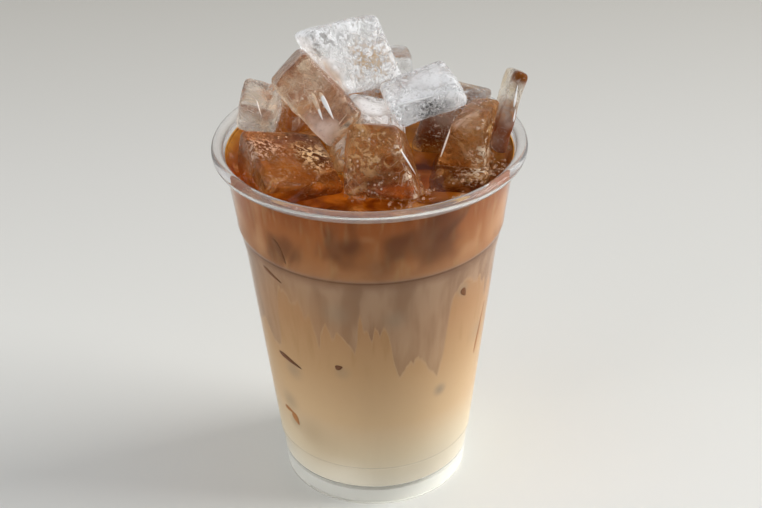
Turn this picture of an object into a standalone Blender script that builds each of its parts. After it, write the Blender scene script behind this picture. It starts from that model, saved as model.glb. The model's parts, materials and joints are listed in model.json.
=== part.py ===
"""Iced coffee in a clear cup, with a heap of ice standing out of it.

A turned, thin-walled cup with a rolled lip, a step below the rim and a raised floor holds a drink in three
layers: coffee on top, a mixed band whose lower edge hangs down in tongues, and milk below. Thirteen separate
pieces of ice stand half in the drink, and the drink is cut round each of them.

Origin: the middle of the cup's foot, on the table. +Z is up, and the front of the cup faces -Y.
Run with: blender --background --python part.py
"""

import math

import bmesh
import bpy
from mathutils import Euler, Matrix, Vector, noise
from mathutils.bvhtree import BVHTree

MM = 0.001
TOUCH_GAP = 0.3 * MM          # left between pieces that touch
MERGE = 0.00001               # merge distance of the turned shapes
TURN_STEPS = 64               # sides of a full turn

# Cup, outer sizes
CUP_HEIGHT = 119 * MM
RIM_RADIUS = 49 * MM
LIP_RADIUS = 1.8 * MM         # of the rolled lip's round section
WALL = 0.7 * MM
STEP_Z = 92 * MM              # the wall bends inward below this line
STEP_RADIUS = 41.9 * MM
BELOW_STEP_Z = 84 * MM
BELOW_STEP_RADIUS = 40.0 * MM
CONE_TOP_Z = 78 * MM          # the plain cone starts here
CONE_TOP_RADIUS = 39.2 * MM
BEAD_Z = 15 * MM              # small step in the wall above the floor
BEAD_RADIUS = 31.4 * MM
BEAD_DROP = 0.5 * MM
FOOT_RADIUS = 29.6 * MM
FOOT_WIDTH = 1.5 * MM         # flat ring that the cup stands on
FLOOR_Z = 6.4 * MM            # top of the raised floor

# Drink
LEVEL_Z = 114.5 * MM          # surface of the drink
MIXED_TOP_Z = STEP_Z - 0.5 * MM
TONGUE_TOP_Z = 74 * MM        # the mixed band's lower edge, between its tongues
TONGUE_DEPTH = 17 * MM
TONGUES = 9                   # large tongues round the cup
SIDE_RING = 6 * MM            # spacing of the rings down a layer's side

# Ice
ICE_ROUND = 3.2 * MM          # radius of the melted edges
ICE_DENT = 0.35 * MM          # depth of the uneven melting
ICE_DENT_WAVES = 1.3          # waves of the dents across half a piece
ICE_CUTS = 4                  # each face of a piece is a grid of five by five

# Each piece of ice: width, depth and height, centre, turn in degrees about X, Y and Z, how much the top is
# wider than the middle (in width and depth), and how far the top leans (in width and depth). All in mm.
ICE = {
    "ice_top_slab": ((24, 13, 23), (-5, 14, 140.5), (-25, -1, 28), (0.13, 0), (-3, 1)),
    "ice_tall_cube": ((27.5, 19, 15.5), (-16, -3.7, 135), (-26, 47, -13), (0, 0), (-0.6, 0)),
    "ice_bridge_slab": ((23.5, 22, 10), (16.5, -4, 135.7), (-3, -16, 12), (0, 0), (-1, -0.7)),
    "ice_shard": ((5.6, 19, 26), (42, -0.5, 127.8), (-24, 25, -6), (-0.08, 0), (-2, -0.8)),
    "ice_front_cube": ((20, 20.5, 23), (3.3, -18.7, 120), (-30, -1, -11), (-0.24, -0.06), (-2.3, 0)),
    "ice_front_left_cube": ((27.5, 27, 19.5), (-25, -9, 109.3), (16, 17, 25), (0.04, 0.04), (-2, 0)),
    "ice_left_piece": ((13, 14, 20.5), (-34, 9.5, 126), (22, 15, -6), (-0.08, -0.12), (-0.7, -3.5)),
    "ice_right_cube": ((14.5, 18.5, 19.5), (31.6, -6, 122.8), (3, -7, -25), (-0.26, 0.05), (3.3, -2)),
    "ice_middle_cube": ((19.5, 23, 24), (0, 6, 114.6), (-2, 16, 8), (-0.16, 0), (0, 0)),
    "ice_low_right_cube": ((20, 23.5, 20), (27.5, -7, 104.8), (4, -6, -10), (-0.17, 0), (2.5, 0)),
    "ice_back_cube": ((23, 20, 25), (2.6, 29, 122), (-11, 1, 3), (0, 0), (0, 0)),
    "ice_back_right_cube": ((20, 19, 24), (26.3, 17, 115), (-8, 8, -11), (0, 0), (1.3, 0)),
    "ice_back_left_cube": ((22, 19, 20), (-21, 25, 115), (-12, 10, 30), (0, 0), (0, 0)),
}

CLEAR_PLASTIC = (0.86, 0.88, 0.88)
ICE_COLOUR = (0.80, 0.84, 0.86)
COFFEE_BROWN = (0.26, 0.10, 0.035)
MIXED_BEIGE = (0.48, 0.34, 0.24)
MILK_CREAM = (0.68, 0.50, 0.33)


def clear_scene():
    for old in list(bpy.data.objects):
        bpy.data.objects.remove(old, do_unlink=True)


def new_collection(name):
    collection = bpy.data.collections.new(name)
    bpy.context.scene.collection.children.link(collection)
    return collection


def material(name, colour, roughness, alpha=1.0):
    made = bpy.data.materials.new(name)
    made.use_nodes = True
    shader = made.node_tree.nodes["Principled BSDF"]
    shader.inputs["Base Color"].default_value = (*colour, 1.0)
    shader.inputs["Roughness"].default_value = roughness
    shader.inputs["Metallic"].default_value = 0.0
    shader.inputs["Alpha"].default_value = alpha
    return made


def add_object(name, mesh, collection, look=None):
    made = bpy.data.objects.new(name, mesh)
    collection.objects.link(made)
    if look:
        mesh.materials.append(look)
    return made


def as_cutter(made):
    made.hide_render = True
    made.display_type = "WIRE"
    return made


def arc(centre_r, centre_z, radius, start, end, steps):
    """Points of an arc in the (r, z) plane, from one angle in degrees to another."""
    points = []
    for i in range(steps + 1):
        a = math.radians(start + (end - start) * i / steps)
        points.append((centre_r + radius * math.cos(a), centre_z + radius * math.sin(a)))
    return points


def wall_radius(z):
    """Outer radius of the cup's wall at a height, below the lip."""
    upper_slope = (RIM_RADIUS - 2 * LIP_RADIUS - STEP_RADIUS) / (CUP_HEIGHT - 2 * LIP_RADIUS - STEP_Z)
    if z >= STEP_Z:
        return STEP_RADIUS + (z - STEP_Z) * upper_slope
    if z >= CONE_TOP_Z:
        # an S-shaped shoulder from the step line down to the cone
        t = (STEP_Z - z) / (STEP_Z - CONE_TOP_Z)
        first = (STEP_Z - BELOW_STEP_Z) / (STEP_Z - CONE_TOP_Z)
        if t < first:
            return STEP_RADIUS + (BELOW_STEP_RADIUS - STEP_RADIUS) * (t / first)
        return BELOW_STEP_RADIUS + (CONE_TOP_RADIUS - BELOW_STEP_RADIUS) * (t - first) / (1 - first)
    if z > BEAD_Z:
        return BEAD_RADIUS + (CONE_TOP_RADIUS - BEAD_RADIUS) * (z - BEAD_Z) / (CONE_TOP_Z - BEAD_Z)
    low = BEAD_RADIUS - BEAD_DROP
    return FOOT_RADIUS + (low - FOOT_RADIUS) * z / BEAD_Z


def turned(name, profile, collection, look=None):
    """A closed turned shape: the profile starts and ends on the axis and runs down its outer side."""
    mesh = bpy.data.meshes.new(name)
    edges = [(i, i + 1) for i in range(len(profile) - 1)]
    mesh.from_pydata([(r, 0, z) for r, z in profile], edges, [])
    made = add_object(name, mesh, collection, look)
    screw = made.modifiers.new("turn", "SCREW")
    screw.steps = TURN_STEPS
    screw.render_steps = TURN_STEPS
    screw.use_merge_vertices = True
    screw.merge_threshold = MERGE
    return made


def cup_profile():
    """From the floor's middle up the inside, over the rolled lip, down the outside and under the floor."""
    lip_z = CUP_HEIGHT - LIP_RADIUS
    lip_r = RIM_RADIUS - LIP_RADIUS
    heights = [BEAD_Z + 1 * MM, CONE_TOP_Z, BELOW_STEP_Z, STEP_Z]
    inside = [(0, FLOOR_Z), (wall_radius(FLOOR_Z) - WALL - 1.5 * MM, FLOOR_Z)]
    inside.append((wall_radius(FLOOR_Z) - WALL, FLOOR_Z + 1.5 * MM))
    inside += [(wall_radius(BEAD_Z) - WALL, BEAD_Z - 0.4 * MM)]
    inside += [(wall_radius(z) - WALL, z) for z in heights]
    lip = arc(lip_r, lip_z, LIP_RADIUS, 210, -90, 10)
    under_lip = CUP_HEIGHT - 2 * LIP_RADIUS
    inside.append((wall_radius(under_lip - 1 * MM) - WALL, under_lip - 1 * MM))
    outside = [(wall_radius(under_lip) + 0.4 * MM, under_lip - 0.1 * MM)]
    outside.append((wall_radius(under_lip - 1 * MM), under_lip - 1 * MM))
    outside += [(wall_radius(z), z) for z in reversed(heights)]
    outside += [(wall_radius(BEAD_Z), BEAD_Z - 0.4 * MM), (FOOT_RADIUS + 0.05 * MM, 0.5 * MM)]
    foot = [(FOOT_RADIUS - 0.3 * MM, 0), (FOOT_RADIUS - 0.3 * MM - FOOT_WIDTH, 0)]
    hollow_r = wall_radius(FLOOR_Z) - WALL - 1.2 * MM
    under = [(hollow_r, FLOOR_Z - 2 * WALL), (hollow_r - 1 * MM, FLOOR_Z - WALL), (0, FLOOR_Z - WALL)]
    return inside + lip + outside + foot + under


def tongue_edge(angle):
    """Height of the mixed band's lower edge: pointed tongues of uneven length round the cup."""
    large = 1 - abs(math.sin(TONGUES / 2 * angle + 0.6))
    small = 1 - abs(math.sin(TONGUES * 1.5 * angle + 1.1))
    uneven = 0.62 + 0.38 * math.sin(2 * angle + 1.9)
    return TONGUE_TOP_Z - TONGUE_DEPTH * uneven * (0.75 * large ** 1.5 + 0.25 * small)


def layer(name, low_z, high_z, wavy_low, wavy_high, collection, look):
    """One layer of the drink: a turned body that fills the cup, with a tongued underside or top."""
    def fill_radius(z):
        z = max(z, FLOOR_Z)
        corner = max(0, FLOOR_Z + 1.5 * MM - z)
        return wall_radius(z) - WALL - TOUCH_GAP - corner

    side = [high_z]
    if wavy_high:
        side.append(TONGUE_TOP_Z - TONGUE_DEPTH - SIDE_RING)
    side += [z for z in (BELOW_STEP_Z, CONE_TOP_Z, BEAD_Z + 1 * MM, BEAD_Z - 0.4 * MM, FLOOR_Z + 1.5 * MM)
             if low_z + MM < z < min(side) - MM]
    side.append(low_z)
    top_r, low_r = fill_radius(high_z), fill_radius(low_z)
    profile = [(0, high_z), (top_r * 0.55, high_z), (top_r * 0.85, high_z)]
    profile += [(fill_radius(z), z) for z in side]
    profile += [(low_r * 0.85, low_z), (low_r * 0.55, low_z), (0, low_z)]

    bm = bmesh.new()
    verts = [bm.verts.new((r, 0, z)) for r, z in profile]
    edges = [bm.edges.new((verts[i], verts[i + 1])) for i in range(len(verts) - 1)]
    bmesh.ops.spin(bm, geom=verts + edges, cent=(0, 0, 0), axis=(0, 0, 1), angle=math.tau,
                   steps=TURN_STEPS, use_merge=True)
    bmesh.ops.remove_doubles(bm, verts=bm.verts, dist=MERGE)
    for vert in bm.verts:
        radius = math.hypot(vert.co.x, vert.co.y)
        at_wavy_top = wavy_high and abs(vert.co.z - high_z) < MERGE
        at_wavy_low = wavy_low and abs(vert.co.z - low_z) < MERGE
        if at_wavy_top or at_wavy_low:
            share = (radius / wall_radius(TONGUE_TOP_Z)) ** 2
            flat = TONGUE_TOP_Z - TONGUE_DEPTH / 3
            edge = tongue_edge(math.atan2(vert.co.y, vert.co.x))
            middle = flat + (edge - flat) * share
            vert.co.z = middle + (TOUCH_GAP / 2 if at_wavy_low else -TOUCH_GAP / 2)
            if radius > 0.9 * wall_radius(TONGUE_TOP_Z) - WALL:
                grown = fill_radius(vert.co.z) / radius
                vert.co.x *= grown
                vert.co.y *= grown
    bmesh.ops.triangulate(bm, faces=bm.faces)
    bmesh.ops.recalc_face_normals(bm, faces=bm.faces)
    mesh = bpy.data.meshes.new(name)
    bm.to_mesh(mesh)
    bm.free()
    return add_object(name, mesh, collection, look)


def ice_mesh(name, size, turn, place, taper, lean, grow=0.0):
    """A melted block of ice: a cube cut into a grid, rounded, tapered, leant, dented and set in place."""
    half = [s * MM / 2 for s in size]
    radius = min(ICE_ROUND, 0.8 * min(half))
    bm = bmesh.new()
    bmesh.ops.create_cube(bm, size=2)
    bmesh.ops.subdivide_edges(bm, edges=bm.edges[:], cuts=ICE_CUTS, use_grid_fill=True)
    seed = Vector(place) * 0.37
    for vert in bm.verts:
        sharp, core = [], []
        for along, h in zip(vert.co, half):
            # the grid's rings are moved to the ends of the rounded edges
            reach = {1: 0.4 * (h - radius), 3: h - 0.55 * radius, 5: h}[round(abs(along) * (ICE_CUTS + 1))]
            place_on = math.copysign(reach, along)
            sharp.append(place_on)
            core.append(max(-(h - radius), min(h - radius, place_on)))
        out = Vector(sharp) - Vector(core)
        length = out.length
        direction = out.normalized() if length > 0 else Vector((0, 0, 0))
        dent = ICE_DENT * noise.noise(vert.co * ICE_DENT_WAVES + seed)
        point = Vector(core) + direction * (radius + dent + grow)
        up = point.z / half[2]
        point.x = point.x * (1 + up * taper[0]) + up * lean[0] * MM
        point.y = point.y * (1 + up * taper[1]) + up * lean[1] * MM
        vert.co = point
    rotation = Euler([math.radians(a) for a in turn], "XYZ").to_matrix().to_4x4()
    bmesh.ops.transform(bm, matrix=Matrix.Translation([c * MM for c in place]) @ rotation, verts=bm.verts)
    bmesh.ops.triangulate(bm, faces=bm.faces)
    mesh = bpy.data.meshes.new(name)
    bm.to_mesh(mesh)
    bm.free()
    return mesh


def evaluated_mesh(made):
    graph = bpy.context.evaluated_depsgraph_get()
    graph.update()
    return bpy.data.meshes.new_from_object(made.evaluated_get(graph))


def bvh(made):
    mesh = evaluated_mesh(made)
    mesh.calc_loop_triangles()
    tree = BVHTree.FromPolygons([v.co for v in mesh.vertices],
                                [t.vertices for t in mesh.loop_triangles])
    bpy.data.meshes.remove(mesh)
    return tree


def cut(made, cutter, operation="DIFFERENCE"):
    boolean = made.modifiers.new(f"{operation.lower()} {cutter.name}", "BOOLEAN")
    boolean.operation = operation
    boolean.object = cutter


def settle(made):
    """Apply the cuts, and drop any loose scrap that they leave."""
    if made.modifiers:
        mesh = evaluated_mesh(made)
        made.modifiers.clear()
        made.data = mesh
    bm = bmesh.new()
    bm.from_mesh(made.data)
    left = set(bm.verts)
    shells = []
    while left:
        shell, front = set(), {left.pop()}
        while front:
            vert = front.pop()
            shell.add(vert)
            near = {edge.other_vert(vert) for edge in vert.link_edges}
            front |= near - shell
        left -= shell
        shells.append(shell)
    shells.sort(key=len)
    scraps = [vert for shell in shells[:-1] for vert in shell]
    if scraps:
        bmesh.ops.delete(bm, geom=scraps, context="VERTS")
    bmesh.ops.dissolve_degenerate(bm, edges=bm.edges, dist=MERGE)
    bmesh.ops.triangulate(bm, faces=bm.faces)
    bm.to_mesh(made.data)
    bm.free()
    made.data.shade_smooth()
    made.data.set_sharp_from_angle(angle=math.radians(40))


def main():
    clear_scene()
    parts = new_collection("iced_coffee")
    cutters = new_collection("cutters")

    cup = turned("cup", cup_profile(), parts, material("clear plastic", CLEAR_PLASTIC, 0.05, 0.4))
    settle(cup)

    # the room inside the cup, which no piece of ice leaves
    rim_room = RIM_RADIUS - 2 * LIP_RADIUS - WALL
    room_profile = [(0, 2 * CUP_HEIGHT), (RIM_RADIUS, 2 * CUP_HEIGHT), (RIM_RADIUS, CUP_HEIGHT + TOUCH_GAP),
                    (rim_room - TOUCH_GAP, CUP_HEIGHT + TOUCH_GAP)]
    for z in (CUP_HEIGHT - 4 * MM, STEP_Z, BELOW_STEP_Z, CONE_TOP_Z):
        room_profile.append((wall_radius(z) - WALL - TOUCH_GAP, z))
    room_profile.append((0, CONE_TOP_Z))
    room = as_cutter(turned("room in the cup", room_profile, cutters))

    ice_look = material("ice", ICE_COLOUR, 0.1, 0.5)
    pieces, grown = [], []
    for name, (size, place, turn, taper, lean) in ICE.items():
        piece = add_object(name, ice_mesh(name, size, turn, place, taper, lean), parts, ice_look)
        shape = bvh(piece)
        if shape.overlap(bvh(room)):
            cut(piece, room, "INTERSECT")
        for other in grown:
            if shape.overlap(bvh(other)):
                cut(piece, other)
        settle(piece)
        fat = ice_mesh(name + " room", size, turn, place, taper, lean, grow=TOUCH_GAP)
        grown.append(as_cutter(add_object(name + " room", fat, cutters)))
        pieces.append(piece)

    drink = [
        layer("coffee_layer", MIXED_TOP_Z + TOUCH_GAP, LEVEL_Z, False, False, parts,
              material("coffee", COFFEE_BROWN, 0.2)),
        layer("mixed_layer", TONGUE_TOP_Z, MIXED_TOP_Z, True, False, parts,
              material("mixed", MIXED_BEIGE, 0.2)),
        layer("milk_layer", FLOOR_Z + TOUCH_GAP, TONGUE_TOP_Z, False, True, parts,
              material("milk", MILK_CREAM, 0.2)),
    ]
    for body in drink:
        shape = bvh(body)
        for other in grown:
            if shape.overlap(bvh(other)):
                cut(body, other)
        settle(body)
    for made in parts.objects:
        print(made.name, len(made.data.polygons))


main()
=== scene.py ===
"""Iced coffee in a clear cup: the looks.

Laid out as a Blender add-on and run as a script. Each operator models one piece, or one group of like pieces,
round the fixed frame that holds the cup's and the ice's real sizes.
"""

import json
import math
import random

import bpy
from mathutils import Matrix, Vector, noise
from mathutils.bvhtree import BVHTree

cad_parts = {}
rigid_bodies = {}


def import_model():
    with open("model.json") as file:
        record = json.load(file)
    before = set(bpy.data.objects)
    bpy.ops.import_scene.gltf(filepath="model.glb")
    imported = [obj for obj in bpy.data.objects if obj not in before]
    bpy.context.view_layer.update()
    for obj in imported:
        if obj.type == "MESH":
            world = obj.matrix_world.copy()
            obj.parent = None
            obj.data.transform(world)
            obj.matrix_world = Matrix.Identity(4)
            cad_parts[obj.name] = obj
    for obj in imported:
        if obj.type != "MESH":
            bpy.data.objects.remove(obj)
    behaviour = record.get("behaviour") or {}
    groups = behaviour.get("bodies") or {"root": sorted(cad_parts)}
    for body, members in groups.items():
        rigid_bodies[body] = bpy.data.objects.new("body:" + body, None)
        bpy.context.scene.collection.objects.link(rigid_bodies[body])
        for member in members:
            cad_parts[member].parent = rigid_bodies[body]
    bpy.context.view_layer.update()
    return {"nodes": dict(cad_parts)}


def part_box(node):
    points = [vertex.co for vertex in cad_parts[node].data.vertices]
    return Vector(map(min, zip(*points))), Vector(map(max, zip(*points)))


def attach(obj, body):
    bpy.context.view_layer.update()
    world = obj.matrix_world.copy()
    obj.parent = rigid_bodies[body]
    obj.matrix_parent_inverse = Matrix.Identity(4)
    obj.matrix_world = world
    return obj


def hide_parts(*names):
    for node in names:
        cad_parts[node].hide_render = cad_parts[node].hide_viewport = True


bl_info = {
    "name": "Iced Coffee",
    "version": (1, 0, 0),
    "blender": (4, 5, 0),
    "location": "3D View > Sidebar > Iced Coffee",
    "description": "Dresses a cup of iced coffee with clear plastic, a layered drink and melting ice",
    "category": "Object",
}

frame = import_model()

MM = 0.001
BODY = "root"
ICE_NODES = sorted(name for name in frame["nodes"] if name.startswith("ice_"))

CUP_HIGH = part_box("cup")[1]
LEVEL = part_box("coffee_layer")[1].z           # surface of the drink
COFFEE_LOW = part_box("coffee_layer")[0].z

# The cup's profile. Its height and rim come from the frame, the rest from the photograph
CUP_HEIGHT = CUP_HIGH.z
RIM_RADIUS = CUP_HIGH.x
LIP_RADIUS = 1.8 * MM
WALL = 0.7 * MM
STEP_Z = 92 * MM
STEP_RADIUS = 41.9 * MM
BELOW_STEP_Z = 84 * MM
BELOW_STEP_RADIUS = 40.0 * MM
CONE_TOP_Z = 78 * MM
CONE_TOP_RADIUS = 39.2 * MM
BEAD_Z = 15 * MM
BEAD_RADIUS = 31.4 * MM
BEAD_DROP = 0.5 * MM
FOOT_RADIUS = 29.6 * MM
FOOT_WIDTH = 1.5 * MM
FLOOR_Z = 6.4 * MM
UNDER_BEAD_Z = BEAD_Z - 0.4 * MM
# Its plastics: name, how much each bends light, how clear it is, its tint and the colour of its outline, a
# painted dark edge where the plastic is seen edge-on
PLASTICS = (
    ("thin clear wall", 1.1, 1.0), ("clear lip", 1.26, 0.9, (0.84, 0.83, 0.82), (0.16, 0.16, 0.17)),
    ("clear foot", 1.14, 0.4, (1.0, 0.985, 0.93), (0.46, 0.44, 0.40)), ("clear ridge", 1.22, 1.0))
WALL_PART, LIP_PART, FOOT_PART, RIDGE_PART = range(4)

# The photograph's camera
IMAGE_WIDTH = 762
SENSOR_WIDTH = 36.0
CAMERA_FOCAL_PX = 2047
CAMERA_DISTANCE = 564 * MM
CAMERA_HEIGHT = 408.4 * MM
CAMERA_PITCH = 30.42
CAMERA_YAW = 0.30
CAMERA_ROLL = -1.03

# Its light: places and sizes in metres
WINDOW_PLACE, WINDOW_SIZE, WINDOW_COLOUR = (1.95, 0.16, 1.3), 1.45, (1.0, 0.99, 0.97)
FILL_PLACE, FILL_SIZE, FILL_COLOUR = (-1.5, -0.9, 0.75), 1.5, (1.0, 0.99, 0.98)
LIGHT_AIM = (0, 0, 0.08)
SURROUNDINGS_STRENGTH = 0.77
# How the floor darkens from near to far, a painted falloff of the light: place from 0 to 1 and share of its
# colour
FLOOR_PAINTED_FALLOFF = (
    (0.0, (1, 1, 1)), (0.35, (0.98, 0.98, 0.96)), (0.62, (0.82, 0.81, 0.79)), (1.0, (0.56, 0.54, 0.50)))

# The mixed layer hangs down into the milk in tongues: its lower edge from left to right, as angles from
# the front and heights in mm. The same edge comes again round the cup, turned and with its depth scaled
TONGUE_TOP_Z = 86 * MM
MILK_MIDDLE_Z = 50 * MM
TONGUE_EDGE = (
    (-54, 86), (-50, 83), (-44, 81), (-40, 78), (-36, 80), (-33, 74), (-30.5, 76), (-27, 63), (-25, 71),
    (-22.3, 73), (-20, 68), (-17, 70), (-13, 67.5), (-10.5, 65.5), (-8.8, 61.5), (-7.6, 68), (-6.3, 80.5),
    (-4.6, 72), (-2.6, 72), (-1.1, 67), (0.8, 74), (3, 70.5), (5, 74), (7, 71), (9.5, 60), (12.6, 52.5),
    (16, 57), (22, 60), (28, 54), (33.5, 50), (36.5, 57), (37.6, 70), (39.5, 79), (43, 82), (48, 86))
TONGUE_SETS = ((0, 1.0), (94, 0.75), (182, 0.95), (272, 0.85))
TONGUE_SIDES = 480                            # of the two layers that meet at the edge

# The ice: how often its surface is smoothed, and the waves that dent it
MELTING, MOST_MELTING = 7, 16
MOST_MELTED = ("ice_bridge_slab", "ice_middle_cube")
WAVES, FINE_WAVES, FINE_WAVE_SHARE = 110, 260, 0.45
WAVE_SINK = 0.35                              # more of the waves become dents than bumps
SHARP_BEND = 0.5                              # radians between neighbouring points along a block's edge

# The drink's surface
CLEAR_DEPTH = 8 * MM                          # of the clear coffee above the cloudy coffee
DEEP_Z = LEVEL - CLEAR_DEPTH
CAVITY_GAP = 0.2 * MM                         # how far the ice reaches into the drink round it

# Corners of sunken ice that touch the wall, coloured dark as painted shade where the view through the ice
# falls
# into the dark: angle from the front, height, half length and half width, tilt in degrees, and darkness of
# that shade
WALL_CORNERS = (
    (-41, 97.7, 4.6, 1.6, 65, 0.75), (-49.7, 86, 4.2, 1.2, 24, 0.75), (-47.5, 53.4, 5.2, 1.3, 13, 0.85),
    (-17.5, 57, 1.3, 1.4, -20, 0.85), (-56, 30.6, 2.8, 1.1, 4, 0.2), (-51, 28.4, 2.4, 2.1, 60, 0.15),
    (46, 79, 2.0, 1.6, 60, 0.75), (67, 58, 9.5, 1.1, -80, 0.2), (118, 99, 3.0, 0.9, 50, 0.8),
    (150, 62, 2.6, 0.7, 30, 0.9), (205, 88, 3.2, 0.8, 120, 0.8), (236, 52, 2.2, 1.0, 60, 0.7),
)

# Single bubbles that cling to the wall: angle from the front, height and radius in mm
WALL_BUBBLES = (
    (-27, 88, 0.22), (-25.5, 87.6, 0.2), (-24, 87.2, 0.24), (-22.5, 86.4, 0.18), (-30, 104, 0.2),
    (-22, 98, 0.2), (33, 108, 0.22), (49, 99, 0.2), (-20, 87, 0.15), (2, 82, 0.15), (-9, 80, 0.15),
    (40, 92.5, 0.15), (120, 96, 0.2), (170, 100, 0.2), (210, 84, 0.2),
)

# Where froth gathers on the coffee: place in mm and radius
FROTH_PATCHES = (
    (34, -11, 8), (38.5, -3, 6), (34, -3, 7), (40, 4, 5), (15, -29, 5), (24, -27, 5), (-4, -29, 4),
    (9, -35, 4), (-41, 0, 4), (-36, -16, 4), (30, -20, 5), (-20, 24, 8), (5, 37, 6), (36, 18, 6),
)

# Lighter and darker places in the cloudy coffee, the lighter ones painted light: place in mm, radius and
# colour
DEEP_PATCHES = (
    (-12, -14, 10, (0.70, 0.38, 0.06)), (22, -14, 10, (0.72, 0.40, 0.12)), (9, -24, 7, (0.20, 0.08, 0.01)),
    (-39, 4, 6, (0.22, 0.08, 0.006)), (-24, -12, 7, (0.42, 0.18, 0.02)), (41, 4, 8, (0.80, 0.52, 0.30)),
    (-27, 31, 10, (0.24, 0.11, 0.03)), (13, 22, 12, (0.20, 0.09, 0.02)),
)

# Flat bubbles of air inside the ice that catch the light, some of them painted highlights: the pair on the
# tall cube's front and the line along the bridge slab's ridge. Place in mm, half length, width and depth, and
# turn in degrees about
# Y (up to the left from level) and Z
AIR_STREAKS_AND_HIGHLIGHTS = (
    ((-15.4, -12.6, 136.4), (4.4, 1.0, 0.25), 70, 0), ((-12.6, -12.8, 136.6), (4.6, 1.0, 0.25), 64, 0),
    ((-16.2, -12.2, 138.8), (2.0, 0.35, 0.2), 66, 0), ((11.5, -27.6, 124.5), (4.5, 0.4, 0.2), 68, 30),
    ((-8.2, -12.5, 131.5), (2.6, 0.3, 0.2), -50, 0), ((44.4, -8.4, 136.5), (3.4, 0.45, 0.3), -80, 0),
    ((44.0, -9.6, 130.5), (2.0, 0.4, 0.3), -80, 0), ((23.6, -13.8, 125.8), (6.5, 0.4, 0.2), -70, 0),
    ((-33.5, -1.6, 130.6), (2.6, 0.3, 0.2), 75, 0), ((-12.0, 5.8, 143.5), (5.0, 0.3, 0.2), 20, 0),
    ((14.0, -15.2, 138.9), (6.0, 0.5, 0.25), -14, 0),
)


class IcedCoffeeCup(bpy.types.PropertyGroup):
    sides: bpy.props.IntProperty(name="Sides", description="Sides of the turned cup", default=240, min=24)
    tint: bpy.props.FloatVectorProperty(
        name="Tint", description="Colour of the clear plastic", subtype="COLOR",
        default=(0.97, 0.98, 0.98), min=0, max=1)
    roughness: bpy.props.FloatProperty(
        name="Roughness", description="Dullness of the plastic", default=0.04, min=0, max=1, subtype="FACTOR")


class IcedCoffeeDrink(bpy.types.PropertyGroup):
    reach: bpy.props.FloatProperty(
        name="Reach into wall", description="How far the drink reaches into the cup's wall",
        default=0.25 * MM, unit="LENGTH")
    meniscus: bpy.props.FloatProperty(
        name="Meniscus", description="Rise of the drink against the wall", default=0.9 * MM, unit="LENGTH")
    bubbles: bpy.props.IntProperty(
        name="Bubbles", description="Bubbles that float along the ice", default=800, min=0)


class IcedCoffeeIce(bpy.types.PropertyGroup):
    voxel: bpy.props.FloatProperty(
        name="Fineness", description="Size of the steps that the melted surface is built from",
        default=0.5 * MM, unit="LENGTH")
    dents: bpy.props.FloatProperty(
        name="Dents", description="Depth of the melted dents", default=0.5 * MM, unit="LENGTH")


class IcedCoffeeStage(bpy.types.PropertyGroup):
    floor: bpy.props.FloatVectorProperty(
        name="Floor", description="Colour of the floor", subtype="COLOR", default=(0.84, 0.84, 0.82),
        min=0, max=1)
    window: bpy.props.FloatProperty(
        name="Window", description="Power of the window's light", default=46, unit="POWER")
    fill: bpy.props.FloatProperty(
        name="Fill", description="Power of the fill light", default=10, unit="POWER")


def settings(kind):
    return getattr(bpy.context.scene, "iced_coffee_" + kind)


# Modelling helpers

def deselect():
    if bpy.context.object and bpy.context.object.mode != "OBJECT":
        bpy.ops.object.mode_set(mode="OBJECT")
    bpy.ops.object.select_all(action="DESELECT")


def activate(piece):
    deselect()
    piece.select_set(True)
    bpy.context.view_layer.objects.active = piece


def named(name):
    piece = bpy.context.object
    piece.name = name
    piece.data.name = name
    return piece


def apply_place(piece):
    activate(piece)
    bpy.ops.object.transform_apply(location=True, rotation=True, scale=True)


def add_modifier(piece, kind, **values):
    modifier = piece.modifiers.new(kind.lower(), kind)
    for key, value in values.items():
        setattr(modifier, key, value)
    return modifier


def apply_modifiers(piece):
    activate(piece)
    for modifier in list(piece.modifiers):
        bpy.ops.object.modifier_apply(modifier=modifier.name)


def edit_whole(operator, **options):
    """Runs an operator of edit mode on the whole mesh of the active piece."""
    bpy.ops.object.mode_set(mode="EDIT")
    bpy.ops.mesh.select_all(action="SELECT")
    operator(**options)
    bpy.ops.object.mode_set(mode="OBJECT")


def keep_values(piece, name, values):
    """Keeps a value for each point of a piece, for its material."""
    kept = piece.data.attributes.new(name, "FLOAT", "POINT")
    kept.data.foreach_set("value", list(values))


def melting_name(node_name):
    return node_name.replace("ice_", "melting_")


def angle_of(place):
    """The angle of a place round the cup, in degrees from the front."""
    return math.degrees(math.atan2(place.x, -place.y))


def join(pieces, name):
    deselect()
    for piece in pieces:
        piece.select_set(True)
    bpy.context.view_layer.objects.active = pieces[0]
    bpy.ops.object.join()
    return named(name)


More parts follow.
